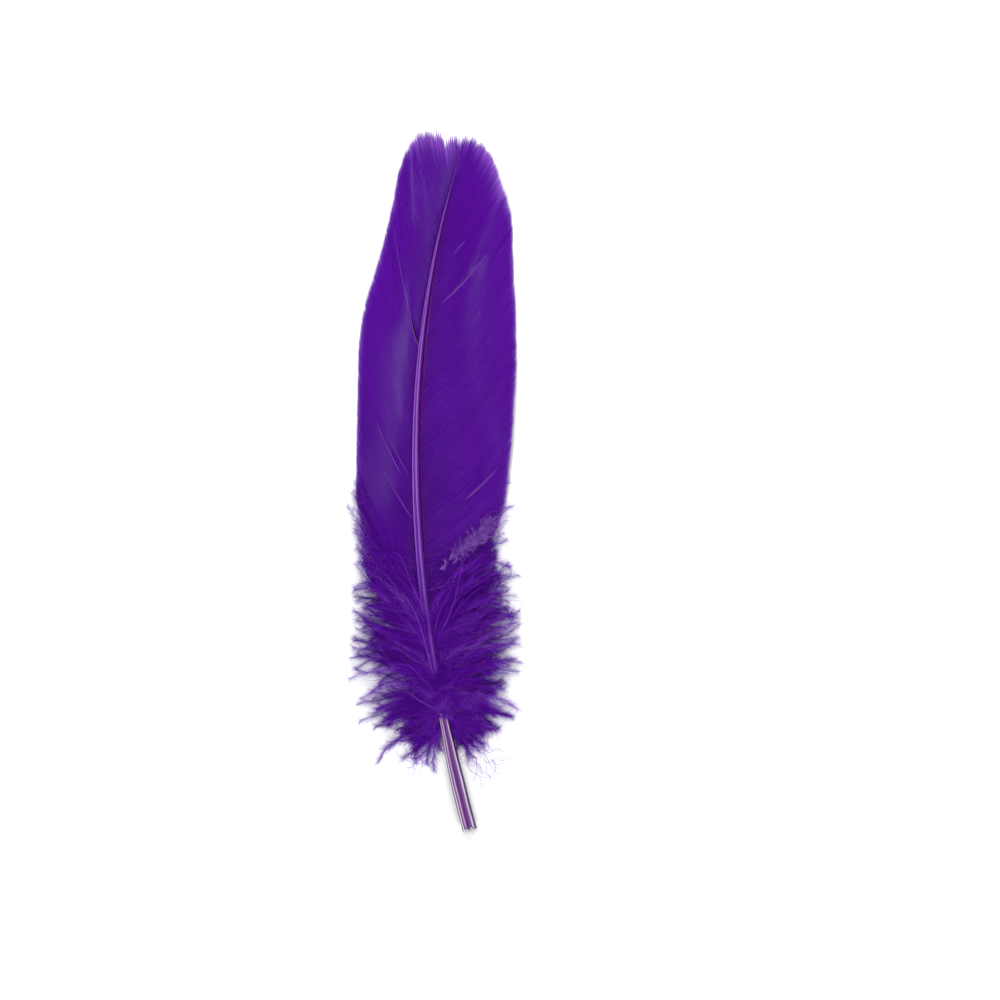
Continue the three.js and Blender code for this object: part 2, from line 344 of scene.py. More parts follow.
def shaft_half_width(y):
    along = np.clip((np.asarray(y, float) - COLLAR_Y) / (SHAFT_TIP_Y - COLLAR_Y), 0, 1)
    rachis = np.maximum(SHAFT_TIP_HALF_WIDTH, RACHIS_HALF_WIDTH * (1 - along) ** RACHIS_TAPER)
    return lerp(QUILL_HALF_WIDTH, rachis, smoothstep(y, QUILL_TAPER_Y, COLLAR_Y))


def arch_height(y):
    along = np.clip((np.asarray(y, float) - FLAT_END_Y) / (ARCH_END_Y - FLAT_END_Y), 0, 1)
    return ARCH_HEIGHT * np.sin(np.pi * along) ** 2


def shaft_axis_height(y):
    return FLAT_SHARE * shaft_half_width(y) + arch_height(y)


# Meshes
def mesh_object(name, points, faces, uv=None, values=None):
    """An object from vertices in millimetres, an array of equal faces, one uv a vertex and named values."""
    mesh = bpy.data.meshes.new(name)
    count, corners = faces.shape
    mesh.vertices.add(len(points))
    mesh.vertices.foreach_set("co", (points * MM).astype(np.float32).ravel())
    mesh.loops.add(count * corners)
    mesh.loops.foreach_set("vertex_index", faces.astype(np.int32).ravel())
    mesh.polygons.add(count)
    mesh.polygons.foreach_set("loop_start", np.arange(0, count * corners, corners, dtype=np.int32))
    mesh.polygons.foreach_set("use_smooth", np.ones(count, bool))
    if uv is not None:
        layer = mesh.uv_layers.new(name=UV_NAME)
        layer.uv.foreach_set("vector", uv[faces.ravel()].astype(np.float32).ravel())
    for key, value in (values or {}).items():
        made = mesh.attributes.new(key, "FLOAT", "POINT")
        made.data.foreach_set("value", value.astype(np.float32).ravel())
    mesh.update(calc_edges=True)
    piece = bpy.data.objects.new(name, mesh)
    bpy.context.scene.collection.objects.link(piece)
    return piece


def strand_faces(strands, rings, sides):
    """Triangles of closed strands, each of rings of points, with a fan over either end."""
    ring = np.arange(sides)
    nxt = (ring + 1) % sides
    at = (np.arange(rings - 1) * sides)[:, None]
    a, b = at + ring, at + nxt
    c, d = b + sides, a + sides
    near_half = np.stack([a, b, c], -1).reshape(-1, 3)
    far_half = np.stack([a, c, d], -1).reshape(-1, 3)
    walls = np.concatenate([near_half, far_half])
    fan = np.arange(1, sides - 1)
    first = np.stack([np.zeros_like(fan), fan + 1, fan], -1)
    last = np.stack([np.zeros_like(fan), fan, fan + 1], -1) + (rings - 1) * sides
    one = np.concatenate([walls, first, last])
    starts = (np.arange(strands) * rings * sides)[:, None, None]
    return (one[None] + starts).reshape(-1, 3)


def inside_uv(uv):
    """The uv kept a little off the edges of the map."""
    return np.clip(uv, UV_LOW, UV_HIGH)


def outward(points, faces):
    """The faces turned so that the closed mesh's volume is positive."""
    a, b, c = (points[faces[:, i]] for i in range(3))
    volume = np.einsum("ij,ij->i", a, np.cross(b, c)).sum()
    return faces if volume > 0 else faces[:, ::-1]


def strand_object(name, rings, uv=None, values=None):
    """An object from points[strand, ring, corner]."""
    strands, stations, sides = rings.shape[:3]
    points = rings.reshape(-1, 3)
    faces = outward(points, strand_faces(strands, stations, sides))
    flat_uv = None if uv is None else uv.reshape(-1, 2)
    flat_values = {k: v.reshape(-1) for k, v in (values or {}).items()}
    return mesh_object(name, points, faces, flat_uv, flat_values)


# Vanes
def spline(rows, q):
    """The row between control rows at place q from 0 to 1, on a Catmull-Rom curve."""
    ends = np.concatenate([2 * rows[:1] - rows[1:2], rows, 2 * rows[-1:] - rows[-2:-1]])
    place = np.clip(q, 0, 1) * (len(rows) - 1)
    i = np.minimum(place.astype(int), len(rows) - 2)
    w = (place - i)[:, None]
    p0, p1, p2, p3 = ends[i], ends[i + 1], ends[i + 2], ends[i + 3]
    m1, m2 = (p2 - p0) / 2, (p3 - p1) / 2
    return (
        (2 * w**3 - 3 * w**2 + 1) * p1
        + (w**3 - 2 * w**2 + w) * m1
        + (3 * w**2 - 2 * w**3) * p2
        + (w**3 - w**2) * m2
    )


def vane_height(side, root_y, q, v):
    root = shaft_axis_height(root_y) + VANE_SEAT * shaft_half_width(root_y)
    wave = np.sin(2 * np.pi * (EDGE_WAVES * q + WAVE_START[side]))
    edge = VANE_EDGE + EDGE_WAVE * np.maximum(0, wave)
    return lerp(root, edge, v**CAMBER_POWER) - VANE_DROP


def barb_places(rows, root_y):
    """Places on the outline, from 0 to 1, of barbs with these roots."""
    dense = np.linspace(0, 1, 2000)
    return np.interp(root_y, spline(rows, dense)[:, 0], dense)


def barb_ends(rows, side, root_y):
    """Places on the outline, and root, middle and tip in plan, of barbs with these roots."""
    q = barb_places(rows, root_y)
    root = np.stack([shaft_x(root_y) + side * VANE_ROOT * shaft_half_width(root_y), root_y], -1)
    tip = spline(rows, q)[:, 1:]
    middle = root + (tip - root) * np.array([0.5 + BARB_BEND, 0.5 - BARB_BEND])
    return q, root, middle, tip


def barb_plan(root, middle, tip, v):
    """Points in plan at shares v[barb, station] of the way from root to tip."""
    w = v[..., None]
    return (1 - w) ** 2 * root[:, None] + 2 * w * (1 - w) * middle[:, None] + w * w * tip[:, None]


def barb_shares(side, q, tip, reach, near_tip, loose):
    """The share of its line that each barb covers, cut short by notches and ragged ends."""
    # Locks end in shallow notches, deeper near the feather's tip.
    lock = np.floor(q * LOCKS_PER_SIDE + 0.5)
    place = q * LOCKS_PER_SIDE + 0.5 - lock
    notch = lerp(*NOTCH_DEPTH, near_tip) * np.abs(2 * place - 1) ** NOTCH_POWER
    if side < 0:
        bite_x, bite_width, bite_depth = TIP_BITE
        notch += bite_depth * near_tip * np.exp(-((tip[:, 0] - bite_x) / bite_width) ** 2)
    ragged = LOCK_RAGGED * jitter(lock + LOCKS_PER_SIDE * side)
    ragged = ragged + lerp(*BARB_RAGGED, near_tip) * rng.random(len(q))
    return (1 - (notch + ragged) / reach) * (1 - LOOSE_SHORTER * loose * rng.random(len(q)))


def unzipped(side, root_y, v):
    """How far barbs part and lift at the splits of a vane, and how much of a pale edge they bare."""
    shift = np.zeros_like(v)
    lift = np.zeros_like(v)
    bared = np.zeros_like(v)
    half_spacing = 0.5 * (root_y[1] - root_y[0])
    for split_y, start, stop, gap, rise in SPLITS[side]:
        gone = (root_y - split_y)[:, None]
        window = np.sin(np.pi * np.clip((v - start) / (stop - start), 0, 1)) ** SPLIT_POWER
        fade = np.exp(-np.abs(gone) / SPLIT_SPREAD)
        shift += np.sign(gone) * gap / 2 * fade * window
        lift += np.where(gone > 0, rise, -SPLIT_SINK * rise) * fade**2 * window
        paleness = SPLIT_LINE * min(1, gap / SPLIT_LINE_GAP)
        bared += paleness * (np.abs(gone + half_spacing) < half_spacing) * np.sqrt(window)
    return shift, lift, bared


def make_vane(name, rows, side):
    count = BARBS[side]
    root_y = np.linspace(rows[0, 0], rows[-1, 0], count)
    q, root, middle, tip = barb_ends(rows, side, root_y)
    reach = np.linalg.norm(tip - root, axis=-1)
    near_tip = smoothstep(q, *NEAR_TIP)
    loose = smoothstep(-root_y, *LOOSE_ROOTS[side])[:, None]
    end = barb_shares(side, q, tip, reach, near_tip, loose[:, 0])

    t = np.linspace(0, 1, BARB_STATIONS) ** STATION_POWER
    v = end[:, None] * t
    height = vane_height(side, root_y[:, None], q[:, None], v)
    line = np.concatenate([barb_plan(root, middle, tip, v), height[..., None]], -1)

    along = unit(np.gradient(line, axis=1))
    step = np.gradient(line, axis=0)
    step -= along * (step * along).sum(-1, keepdims=True)
    pitch = np.linalg.norm(step, axis=-1)
    across = unit(step)
    up = np.cross(along, across)
    up *= np.sign(up[..., 2:])

    shift, lift, bared = unzipped(side, root_y, v)
    # Locks and single barbs stray a little, and the lowest barbs come apart.
    own_lock = np.cumsum(rng.random(count) < LOCK_CHANCE)
    lock_turn = rng.uniform(-LOCK_TURN, LOCK_TURN, own_lock.max() + 1)[own_lock][:, None]
    lock_lift = rng.uniform(0, LOCK_LIFT, own_lock.max() + 1)[own_lock][:, None]
    shift += lock_turn * v**2 + rng.normal(0, BARB_STRAY, count)[:, None] * v
    lift += lock_lift * v + rng.normal(0, BARB_UNEVEN, count)[:, None]
    shift += loose * v**2 * rng.normal(0, LOOSE_STRAY, count)[:, None]
    lift += loose * v * rng.uniform(*LOOSE_LIFT, count)[:, None]
    line = line + across * shift[..., None] + up * lift[..., None]

    left = (1 - t) * (reach * end)[:, None]
    point_length = lerp(*BARB_POINT_LENGTH, near_tip)[:, None]
    taper = np.clip(left / point_length, BARB_POINT, 1) ** BARB_POINT_POWER
    taper = taper * (1 - LOOSE_THINNER * loose * smoothstep(v, *LOOSE_THINNING))
    half = 0.5 * pitch * BARB_OVERLAP * taper
    s, z = BARB_SECTION[:, 0], BARB_SECTION[:, 1]
    # Each barb is turned a little about its own line, so that single barbs catch the light.
    turned = rng.normal(0, BARB_TURN, count)[:, None, None]
    rings = (
        line[:, :, None]
        + across[:, :, None] * (half[..., None] * s)[..., None]
        + up[:, :, None] * (taper[..., None] * z + turned * half[..., None] * s)[..., None]
    )
    rings[..., 2] = np.maximum(rings[..., 2], LOWEST_BARB)
    uv = np.empty(rings.shape[:3] + (2,))
    uv[..., 0] = q[:, None, None] + 0.5 / count * s
    uv[..., 1] = v[..., None]

    # The pale band at the barb ends, partly their thinness and partly painted light shining through them,
    # is measured straight in from the edge, which the barbs meet at a slant.
    edge_way = unit(np.gradient(tip, axis=0))
    end_way = unit(tip - middle)
    slant = np.abs(edge_way[:, 0] * end_way[:, 1] - edge_way[:, 1] * end_way[:, 0])
    band = lerp(PALE_NARROW, PALE_WIDTH[side], smoothstep(q, *PALE_EDGE[side]))
    band = band * rng.uniform(*PALE_UNEVEN, count)
    pale = np.exp(-(left * (slant / band)[:, None]) ** PALE_POWER)
    pale = np.repeat(np.clip(pale + bared, 0, 1)[..., None], len(s), 2)
    return strand_object(name, rings, inside_uv(uv), {"pale": pale})


# Down
def along_strand():
    """Places along a strand, from 0 to 1, as one row."""
    return np.linspace(0, 1, DOWN_STATIONS)[None]


def walk(angle, length):
    """Steps summed along strands of this length, outwards and along +Y, at angles[strand, station]."""
    step = length / (DOWN_STATIONS - 1)
    return np.cumsum(np.sin(angle) * step, 1), np.cumsum(np.cos(angle) * step, 1)


def strand_lines(side, layer):
    """Lines of loose strands on one side: under or over the vane, or bare hairs over both."""
    n = DOWN_STRANDS[layer]
    place = (np.arange(n) + rng.random(n)) / n
    root_y = lerp(DOWN_LOW_Y[layer], DOWN_TOP_Y[layer], place)
    burst = rng.random(n) ** BURST_POWER * lerp(1, BURST_TOP, place)
    start = lerp(*DOWN_ANGLE, burst)
    sweep = lerp(*DOWN_SWEEP, burst) + rng.normal(0, DOWN_SWEEP_UNEVEN, n)
    length = lerp(*DOWN_LENGTH, burst) * rng.uniform(*DOWN_LENGTH_UNEVEN, n)
    v = along_strand()
    turns = rng.uniform(*WAVE_TURNS, (n, 1))
    phase = rng.random((n, 2, 1)) * 2 * np.pi
    wave = rng.uniform(*WAVE_ANGLE, (n, 1)) * v * np.sin(2 * np.pi * turns * v + phase[:, 0])
    angle = np.radians(start[:, None] + sweep[:, None] * v**DOWN_SWEEP_POWER + wave)
    x, y = walk(angle, length[:, None])
    # A strand that would reach too far is drawn in.
    foot_x = shaft_x(root_y) + side * VANE_ROOT * shaft_half_width(root_y)
    room_x = np.interp(place, *DOWN_REACH_X) * rng.uniform(*DOWN_REACH_UNEVEN, n) - side * foot_x
    room_y = DOWN_REACH_Y[layer] - root_y
    fit_x = room_x / np.maximum(x.max(1), LEAST_REACH)
    fit_y = room_y / np.maximum(y.max(1), LEAST_REACH)
    fit = np.minimum(np.minimum(fit_x, fit_y), 1)[:, None]
    x = foot_x[:, None] + side * x * fit
    y = root_y[:, None] + y * fit
    low = rng.uniform(*DOWN_TIP_HEIGHT[layer], (n, 1))
    rise = DOWN_RISE[layer] * rng.uniform(*DOWN_RISE_UNEVEN, (n, 1))
    height = lerp(shaft_axis_height(root_y)[:, None], low, v * v) + rise * np.sin(np.pi * v)
    height = height + WAVE_RISE * v * np.sin(2 * np.pi * WAVE_RISE_TURNS * turns * v + phase[:, 1])
    return np.stack([x, y, np.maximum(height, DOWN_LOWEST)], -1)


def fringe_lines(rows, side):
    """Strands along the lowest barbs of a vane, where these end in down."""
    n = FRINGE_STRANDS[side]
    root_y = rows[0, 0] + FRINGE_ROOTS[side] * rng.random(n) ** FRINGE_ROOT_POWER
    q, root, middle, tip = barb_ends(rows, side, root_y)
    v = np.linspace(*FRINGE_SPAN, DOWN_STATIONS)[None]
    plan = barb_plan(root, middle, tip, np.repeat(v, n, 0))
    way = unit(tip - root)[:, None]
    turns = rng.uniform(*FRINGE_TURNS, (n, 1))
    stray = rng.normal(0, FRINGE_STRAY, (n, 1)) * v**2
    sway = stray + FRINGE_WAVE * v * np.sin(2 * np.pi * (turns * v + rng.random((n, 1))))
    plan = plan + sway[..., None] * np.stack([-way[..., 1], way[..., 0]], -1)
    height = vane_height(side, root_y[:, None], q[:, None], v)
    height = height + rng.uniform(*FRINGE_LIFT, (n, 1))
    return np.concatenate([plan, np.maximum(height, FRINGE_LOWEST)[..., None]], -1)


def collar_lines():
    """Short curled strands round the place where the quill comes out of the down."""
    n = COLLAR_STRANDS
    root_y = rng.uniform(*COLLAR_ROOT_Y, n)
    v = along_strand()
    # Each starts on one side of the shaft and crosses to the other.
    start = rng.uniform(*COLLAR_ANGLE, n)
    angle = np.radians(start[:, None] + rng.normal(0, COLLAR_CURL, (n, 1)) * v)
    x, y = walk(angle, rng.uniform(*COLLAR_LENGTH, (n, 1)))
    foot_x = shaft_x(root_y) - np.sign(start) * rng.uniform(*COLLAR_FOOT_X, n)
    x = foot_x[:, None] + x
    y = root_y[:, None] + COLLAR_SQUEEZE * y
    top = (shaft_axis_height(root_y) + shaft_half_width(root_y))[:, None]
    rise = rng.uniform(*COLLAR_RISE, (n, 1)) * np.sin(np.pi * v * COLLAR_RISE_TURN)
    height = top - COLLAR_SEAT + rise - COLLAR_FALL * v
    return np.stack([x, y, np.maximum(height, DOWN_LOWEST)], -1)


def foot_lines():
    """Strands that lie low beside the quill's top and hang back along it."""
    n = FOOT_STRANDS
    side = rng.choice([-1, 1], n)
    root_y = rng.uniform(*FOOT_ROOT_Y, n)
    v = along_strand()
    start = rng.uniform(*FOOT_ANGLE, n)
    angle = np.radians(start[:, None] + rng.normal(*FOOT_CURL, (n, 1)) * v)
    x, y = walk(angle, rng.uniform(*FOOT_LENGTH, (n, 1)))
    foot_x = shaft_x(root_y) + side * rng.uniform(*FOOT_X, n)
    x = foot_x[:, None] + side[:, None] * x
    y = root_y[:, None] + y
    height = rng.uniform(*FOOT_HEIGHT, (n, 1)) * (1 - FOOT_FALL * v)
    height = height + FOOT_RIPPLE * np.sin(FOOT_RIPPLE_TURN * v)
    return np.stack([x, y, np.maximum(height, DOWN_LOWEST)], -1)


def tuft_lines():
    """Short strands lying on the right vane in a band that widens outwards."""
    n = TUFT_STRANDS
    inner, outer = np.array(TUFT_LINE)
    seat = rng.uniform(0, 1, n) ** TUFT_SEAT_POWER * TUFT_SPAN
    heading = math.atan2(*(outer - inner)) + rng.normal(0, TUFT_ANGLE, (n, 1))
    angle = heading + rng.normal(0, TUFT_CURL, (n, 1)) * along_strand()
    x, y = walk(angle, rng.uniform(*TUFT_LENGTH, (n, 1)))
    astray = rng.normal(0, TUFT_BAND, (n, 2)) * (TUFT_BAND_FOOT + seat[:, None] ** 2)
    foot = lerp(inner, outer, seat[:, None]) + astray
    x = foot[:, :1] + x
    y = foot[:, 1:] + y
    root_y = foot[:, 1] - TUFT_BARB_SLOPE * (foot[:, 0] - shaft_x(foot[:, 1]))
    share = np.clip(foot[:, 0] / TUFT_VANE_WIDTH, 0, 1)
    on_vane = vane_height(1, root_y, barb_places(RIGHT_BARBS, root_y), share)
    height = on_vane[:, None] + TUFT_SEAT + rng.uniform(*TUFT_LIFT, (n, 1)) * along_strand()
    return np.stack([x, y, height], -1)


def stray_lines():
    """Single curled threads that leave the down at its foot."""
    n = STRAYS
    side = rng.choice([-1, 1], n)
    root_y = rng.uniform(*STRAY_ROOT_Y, n)
    root_x = shaft_x(root_y) + side * rng.uniform(*STRAY_ROOT_X, n)
    v = along_strand()
    curl = rng.normal(0, STRAY_CURL, (n, 1)) * v
    curl = curl + rng.normal(0, STRAY_WIGGLE, (n, 1)) * np.sin(STRAY_WIGGLE_TURN * v)
    angle = side[:, None] * rng.uniform(*STRAY_ANGLE, (n, 1)) + curl
    x, y = walk(angle, rng.uniform(*STRAY_LENGTH, (n, 1)))
    x = root_x[:, None] + x
    y = root_y[:, None] + y
    rise = rng.uniform(0, STRAY_RISE, (n, 1)) * np.sin(np.pi * v)
    height = STRAY_HEIGHT - STRAY_FALL * v + rise
    return np.stack([x, y, height], -1)


def thread_frame(line):
    """Unit vectors along lines[strand, station], level across them, and up from them."""
    along = unit(np.gradient(line, axis=1))
    across = unit(np.cross(along, np.array([0, 0, 1.0])))
    return along, across, np.cross(across, along)


def three_corners():
    """Cosines and sines of the corners of a three-sided section."""
    turn = np.arange(3) / 3 * 2 * np.pi
    return np.cos(turn), np.sin(turn)


def tubes(line, half, taper):
    """Points and faces of three-sided tubes along lines[strand, station]."""
    n, stations = line.shape[:2]
    _, across, up = thread_frame(line)
    c, s = three_corners()
    width = half * (1 - taper * np.linspace(0, 1, stations))[:, None] * np.ones((n, 1, 1))
    rings = (
        line[:, :, None]
        + across[:, :, None] * (width * c)[..., None]
        + up[:, :, None] * (width * s)[..., None]
    )
    points = rings.reshape(-1, 3)
    return points, outward(points, strand_faces(n, stations, len(c)))


def thread_faces(count):
    """Triangles of closed threads, each of a ring of three points and a far point."""
    one = np.array([(0, 2, 1), (0, 1, 3), (1, 2, 3), (2, 0, 3)])
    return (one[None] + len(THREAD_LOOSE) * np.arange(count)[:, None, None]).reshape(-1, 3)


def fluff_object(name, points, faces, tone, loose):
    """An object with a tone and a looseness at each point, for the dye."""
    uv = inside_uv(np.stack([tone, loose], -1))
    return mesh_object(name, points, faces, uv, {"tone": tone, "loose": loose})


def make_fluff(name, line, barbules, spread=1.0, girth=1.0):
    """Strands along lines[strand, station], with fine straight threads on both sides of each."""
    n, stations = line.shape[:2]
    m = barbules
    along, across, up = thread_frame(line)
    rami_points, rami_faces = tubes(line, girth * DOWN_HALF_WIDTH, RAMUS_TAPER)

    seat = lerp(BARE_FOOT, 1, (np.arange(m)[None] + rng.random((n, m))) / m) * (stations - 1)
    i = np.minimum(seat.astype(int), stations - 2)
    who = np.arange(n)[:, None]
    foot = lerp(line[who, i], line[who, i + 1], (seat - i)[..., None])
    ahead, sideways, upward = along[who, i], across[who, i], up[who, i]
    hand = rng.choice([-1, 1], (n, m))
    roll = rng.normal(0, BARBULE_ROLL, (n, m))
    lean = np.radians(rng.uniform(*BARBULE_LEAN, (n, m)))
    out = sideways * (hand * np.cos(roll))[..., None] + upward * np.sin(roll)[..., None]
    shrink = 1 - BARBULE_SHRINK * (seat / (stations - 1)) ** 2
    length = BARBULE_LENGTH * spread * shrink * rng.uniform(*BARBULE_UNEVEN, (n, m))
    heading = ahead * np.cos(lean)[..., None] + out * np.sin(lean)[..., None]
    far = foot + heading * length[..., None]
    far[..., 2] = np.maximum(far[..., 2], BARBULE_LOWEST)
    heading = unit(far - foot)
    first_axis = unit(np.cross(heading, rng.normal(0, 1, (n, m, 3))))
    second_axis = np.cross(heading, first_axis)
    c, s = three_corners()
    ring = first_axis[:, :, None] * c[:, None] + second_axis[:, :, None] * s[:, None]
    ring = foot[:, :, None] + girth * BARBULE_HALF_WIDTH * ring
    thread_points = np.concatenate([ring, far[:, :, None]], 2).reshape(-1, 3)

    points = np.concatenate([rami_points, thread_points])
    threads = outward(thread_points, thread_faces(n * m))
    faces = np.concatenate([rami_faces, threads + len(rami_points)])
    strand_tone = rng.random(n)
    thread_tone = np.clip(strand_tone[:, None] + rng.normal(0, BARBULE_TONE, (n, m)), 0, 1)
    rami_tone = np.repeat(strand_tone, stations * len(c))
    tone = np.concatenate([rami_tone, np.repeat(thread_tone.reshape(-1), len(THREAD_LOOSE))])
    rami_loose = np.tile(np.repeat(np.linspace(0, 1, stations), len(c)), n)
    thread_loose = STRAND_LOOSE * (seat / (stations - 1)).reshape(-1)[:, None] + THREAD_LOOSE
    loose = np.concatenate([rami_loose, thread_loose.reshape(-1)])
    return fluff_object(name, points, faces, tone, loose)


def make_strays(name, line):
    """Bare threads along lines[strand, station]."""
    points, faces = tubes(line, DOWN_HALF_WIDTH, STRAY_TAPER)
    n, stations = line.shape[:2]
    corners = len(points) // (n * stations)
    tone = np.repeat(rng.uniform(*STRAY_TONE, n), stations * corners)
    loose = np.tile(np.repeat(np.linspace(0, 1, stations), corners), n)
    return fluff_object(name, points, faces, tone, loose)


# Shaft
def shaft_rings(y, half, sides, squareness, groove=0.0, slip=None):
    """Rings of the shaft at each y, flattened where they would go under the floor."""
    x = shaft_x(y)
    slope = np.gradient(x, y)
    norm = np.sqrt(1 + slope**2)
    over = np.stack([1 / norm, -slope / norm], -1)
    turn = (np.arange(sides) + 0.5) / sides * 2 * np.pi
    c, s = np.cos(turn), np.sin(turn)
    power = 2 / squareness[:, None]
    side = half[:, None] * np.sign(c) * np.abs(c) ** power
    rise = half[:, None] * s
    dent = np.exp(-((turn - np.pi / 2) / GROOVE_ANGLE) ** 2)
    rise = rise - groove * half[:, None] * dent
    rings = np.empty((1, len(y), sides, 3))
    rings[0, ..., 0] = x[:, None] + over[:, :1] * side
    rings[0, ..., 1] = y[:, None] + over[:, 1:] * side
    rings[0, ..., 2] = np.maximum(shaft_axis_height(y)[:, None] + rise, 0.0)
    if slip is not None:
        rings[0, 0, :, 0] += slip * slope[0] / norm[0]
        rings[0, 0, :, 1] += slip / norm[0]
    return rings


def shaft_uv(rings):
    """A uv that runs round each ring and from the first ring to the last."""
    uv = np.empty(rings.shape[:3] + (2,))
    uv[..., 0] = (np.arange(SHAFT_SIDES) + 0.5) / SHAFT_SIDES
    uv[..., 1] = np.linspace(UV_LOW, UV_HIGH, rings.shape[1])[:, None]
    return uv


def make_rachis(name):
    below, above = RACHIS_FOOT
    y = np.linspace(QUILL_TOP_Y - below, SHAFT_TIP_Y, RACHIS_STATIONS)
    square = lerp(*SQUARENESS, smoothstep(y, QUILL_TAPER_Y, COLLAR_Y))
    foot = smoothstep(y, QUILL_TOP_Y - below, QUILL_TOP_Y + above)
    half = shaft_half_width(y) * lerp(RACHIS_FOOT_SHARE, 1, foot)
    rings = shaft_rings(y, half, SHAFT_SIDES, square, groove=GROOVE_DEPTH)
    return strand_object(name, rings, shaft_uv(rings))


def make_quill(name):
    """The bare hollow quill: an outer wall, an inner wall and a ragged rim between them."""
    y = np.linspace(QUILL_END_Y, QUILL_TOP_Y, QUILL_STATIONS)
    round_section = np.full(len(y), float(SQUARENESS[0]))
    turn = np.arange(SHAFT_SIDES)
    waves = RIM_WAVE * np.sin(turn * RIM_WAVE_STEP + RIM_WAVE_START)
    ragged = waves + RIM_TEAR * (jitter(turn + RIM_TEAR_SEED) - 0.5)
    outer = shaft_rings(y, shaft_half_width(y), SHAFT_SIDES, round_section, slip=ragged)[0]
    far, near = BORE_CLOSING
    closing = smoothstep(y, QUILL_TOP_Y - far, QUILL_TOP_Y - near)
    bore = lerp(shaft_half_width(y) - QUILL_WALL, BORE_END, closing)
    inner = shaft_rings(y, bore, SHAFT_SIDES, round_section, slip=ragged)[0]
    inner[..., 2] = np.maximum(inner[..., 2], QUILL_WALL * BORE_FLOOR)
    # Down the inside from its closed end to the rim, then up the outside.
    rings = np.concatenate([inner[::-1], outer])[None]
    return strand_object(name, rings, shaft_uv(rings))


# Materials
def new_material(name):
    material = bpy.data.materials.new(name)
    material.use_nodes = True
    return material, material.node_tree.nodes, material.node_tree.links


def ramp(nodes, stops):
    node = nodes.new("ShaderNodeValToRGB")
    elements = node.color_ramp.elements
    while len(elements) < len(stops):
        elements.new(0.5)
    for element, (at, colour) in zip(elements, stops):
        element.position = at
        element.color = (*colour, 1)
    return node


def own_uv(nodes):
    node = nodes.new("ShaderNodeUVMap")
    node.uv_map = UV_NAME
    return node.outputs["UV"]


def share_of(nodes, name):
    """A value that the mesh holds at each point."""
    node = nodes.new("ShaderNodeAttribute")
    node.attribute_name = name
    return node.outputs["Fac"]


def streaks(nodes, links, scale, detail=3.0):
    """Noise drawn out along the barbs, in the mesh's own uv."""
    uv = own_uv(nodes)
    mapping = nodes.new("ShaderNodeMapping")
    mapping.inputs["Scale"].default_value = (*scale, 1)
    noise = nodes.new("ShaderNodeTexNoise")
    noise.inputs["Scale"].default_value = 1
    noise.inputs["Detail"].default_value = detail
    links.new(uv, mapping.inputs["Vector"])
    links.new(mapping.outputs["Vector"], noise.inputs["Vector"])
    return noise.outputs["Fac"]


def mix_colour(nodes, links, factor, first, second, blend="MIX"):
    node = nodes.new("ShaderNodeMix")
    node.data_type = "RGBA"
    node.blend_type = blend
    for socket, value in ((node.inputs[0], factor), (node.inputs[6], first), (node.inputs[7], second)):
        if hasattr(value, "is_linked"):
            links.new(value, socket)
        elif isinstance(value, tuple):
            socket.default_value = (*value, 1)
        else:
            socket.default_value = value
    return node.outputs[2]


def srgb(*levels):
    """A linear colour from 8-bit screen values."""
    shares = [level / 255 for level in levels]
    return tuple(c / 12.92 if c <= 0.04045 else ((c + 0.055) / 1.055) ** 2.4 for c in shares)


def split_uv(nodes, links):
    """The two shares of the mesh's own uv."""
    parts = nodes.new("ShaderNodeSeparateXYZ")
    links.new(own_uv(nodes), parts.inputs["Vector"])
    return parts.outputs["X"], parts.outputs["Y"]


def vane_material(name, shaft_shade_colour):
    material, nodes, links = new_material(name)
    shader = nodes["Principled BSDF"]
    lengthways, outwards = split_uv(nodes, links)
    # Darker towards the shaft, partly deeper dye and partly painted shade. The colour at the root is
    # painted shade beside the shaft, and on the right vane it is the shaft's painted shadow.
    across = ramp(nodes, [
        (0.02, shaft_shade_colour),
        (0.07, srgb(66, 9, 118)),
        (0.2, srgb(70, 10, 126)),
        (0.55, srgb(74, 10, 132)),
        (1.0, srgb(78, 10, 139)),
    ])
    links.new(outwards, across.inputs["Fac"])
    foot = ramp(nodes, [(0.05, (0.74, 0.8, 0.74)), (0.38, (1, 1, 1))])
    links.new(lengthways, foot.inputs["Fac"])
    fine = ramp(nodes, [(0.3, (0.88, 0.88, 0.9)), (0.7, (1.1, 1.1, 1.08))])
    links.new(streaks(nodes, links, (150, 3)), fine.inputs["Fac"])
    broad = ramp(nodes, [(0.3, (0.9, 0.9, 0.92)), (0.7, (1.08, 1.08, 1.06))])
    links.new(streaks(nodes, links, (22, 1.4)), broad.inputs["Fac"])
    colour = mix_colour(nodes, links, 1.0, across.outputs["Color"], fine.outputs["Color"], "MULTIPLY")
    colour = mix_colour(nodes, links, 1.0, colour, broad.outputs["Color"], "MULTIPLY")
    colour = mix_colour(nodes, links, 1.0, colour, foot.outputs["Color"], "MULTIPLY")
    # Paler at the barb ends, partly painted light shining through them, and along the bared edges of
    # splits.
    colour = mix_colour(nodes, links, share_of(nodes, "pale"), colour, srgb(146, 92, 196))
    links.new(colour, shader.inputs["Base Color"])
    gloss = nodes.new("ShaderNodeMapRange")
    gloss.inputs["To Min"].default_value = 0.1
    gloss.inputs["To Max"].default_value = 0.19
    links.new(streaks(nodes, links, (60, 2)), gloss.inputs["Value"])
    links.new(gloss.outputs["Result"], shader.inputs["Roughness"])
    shader.inputs["Specular IOR Level"].default_value = 0.06
    return material


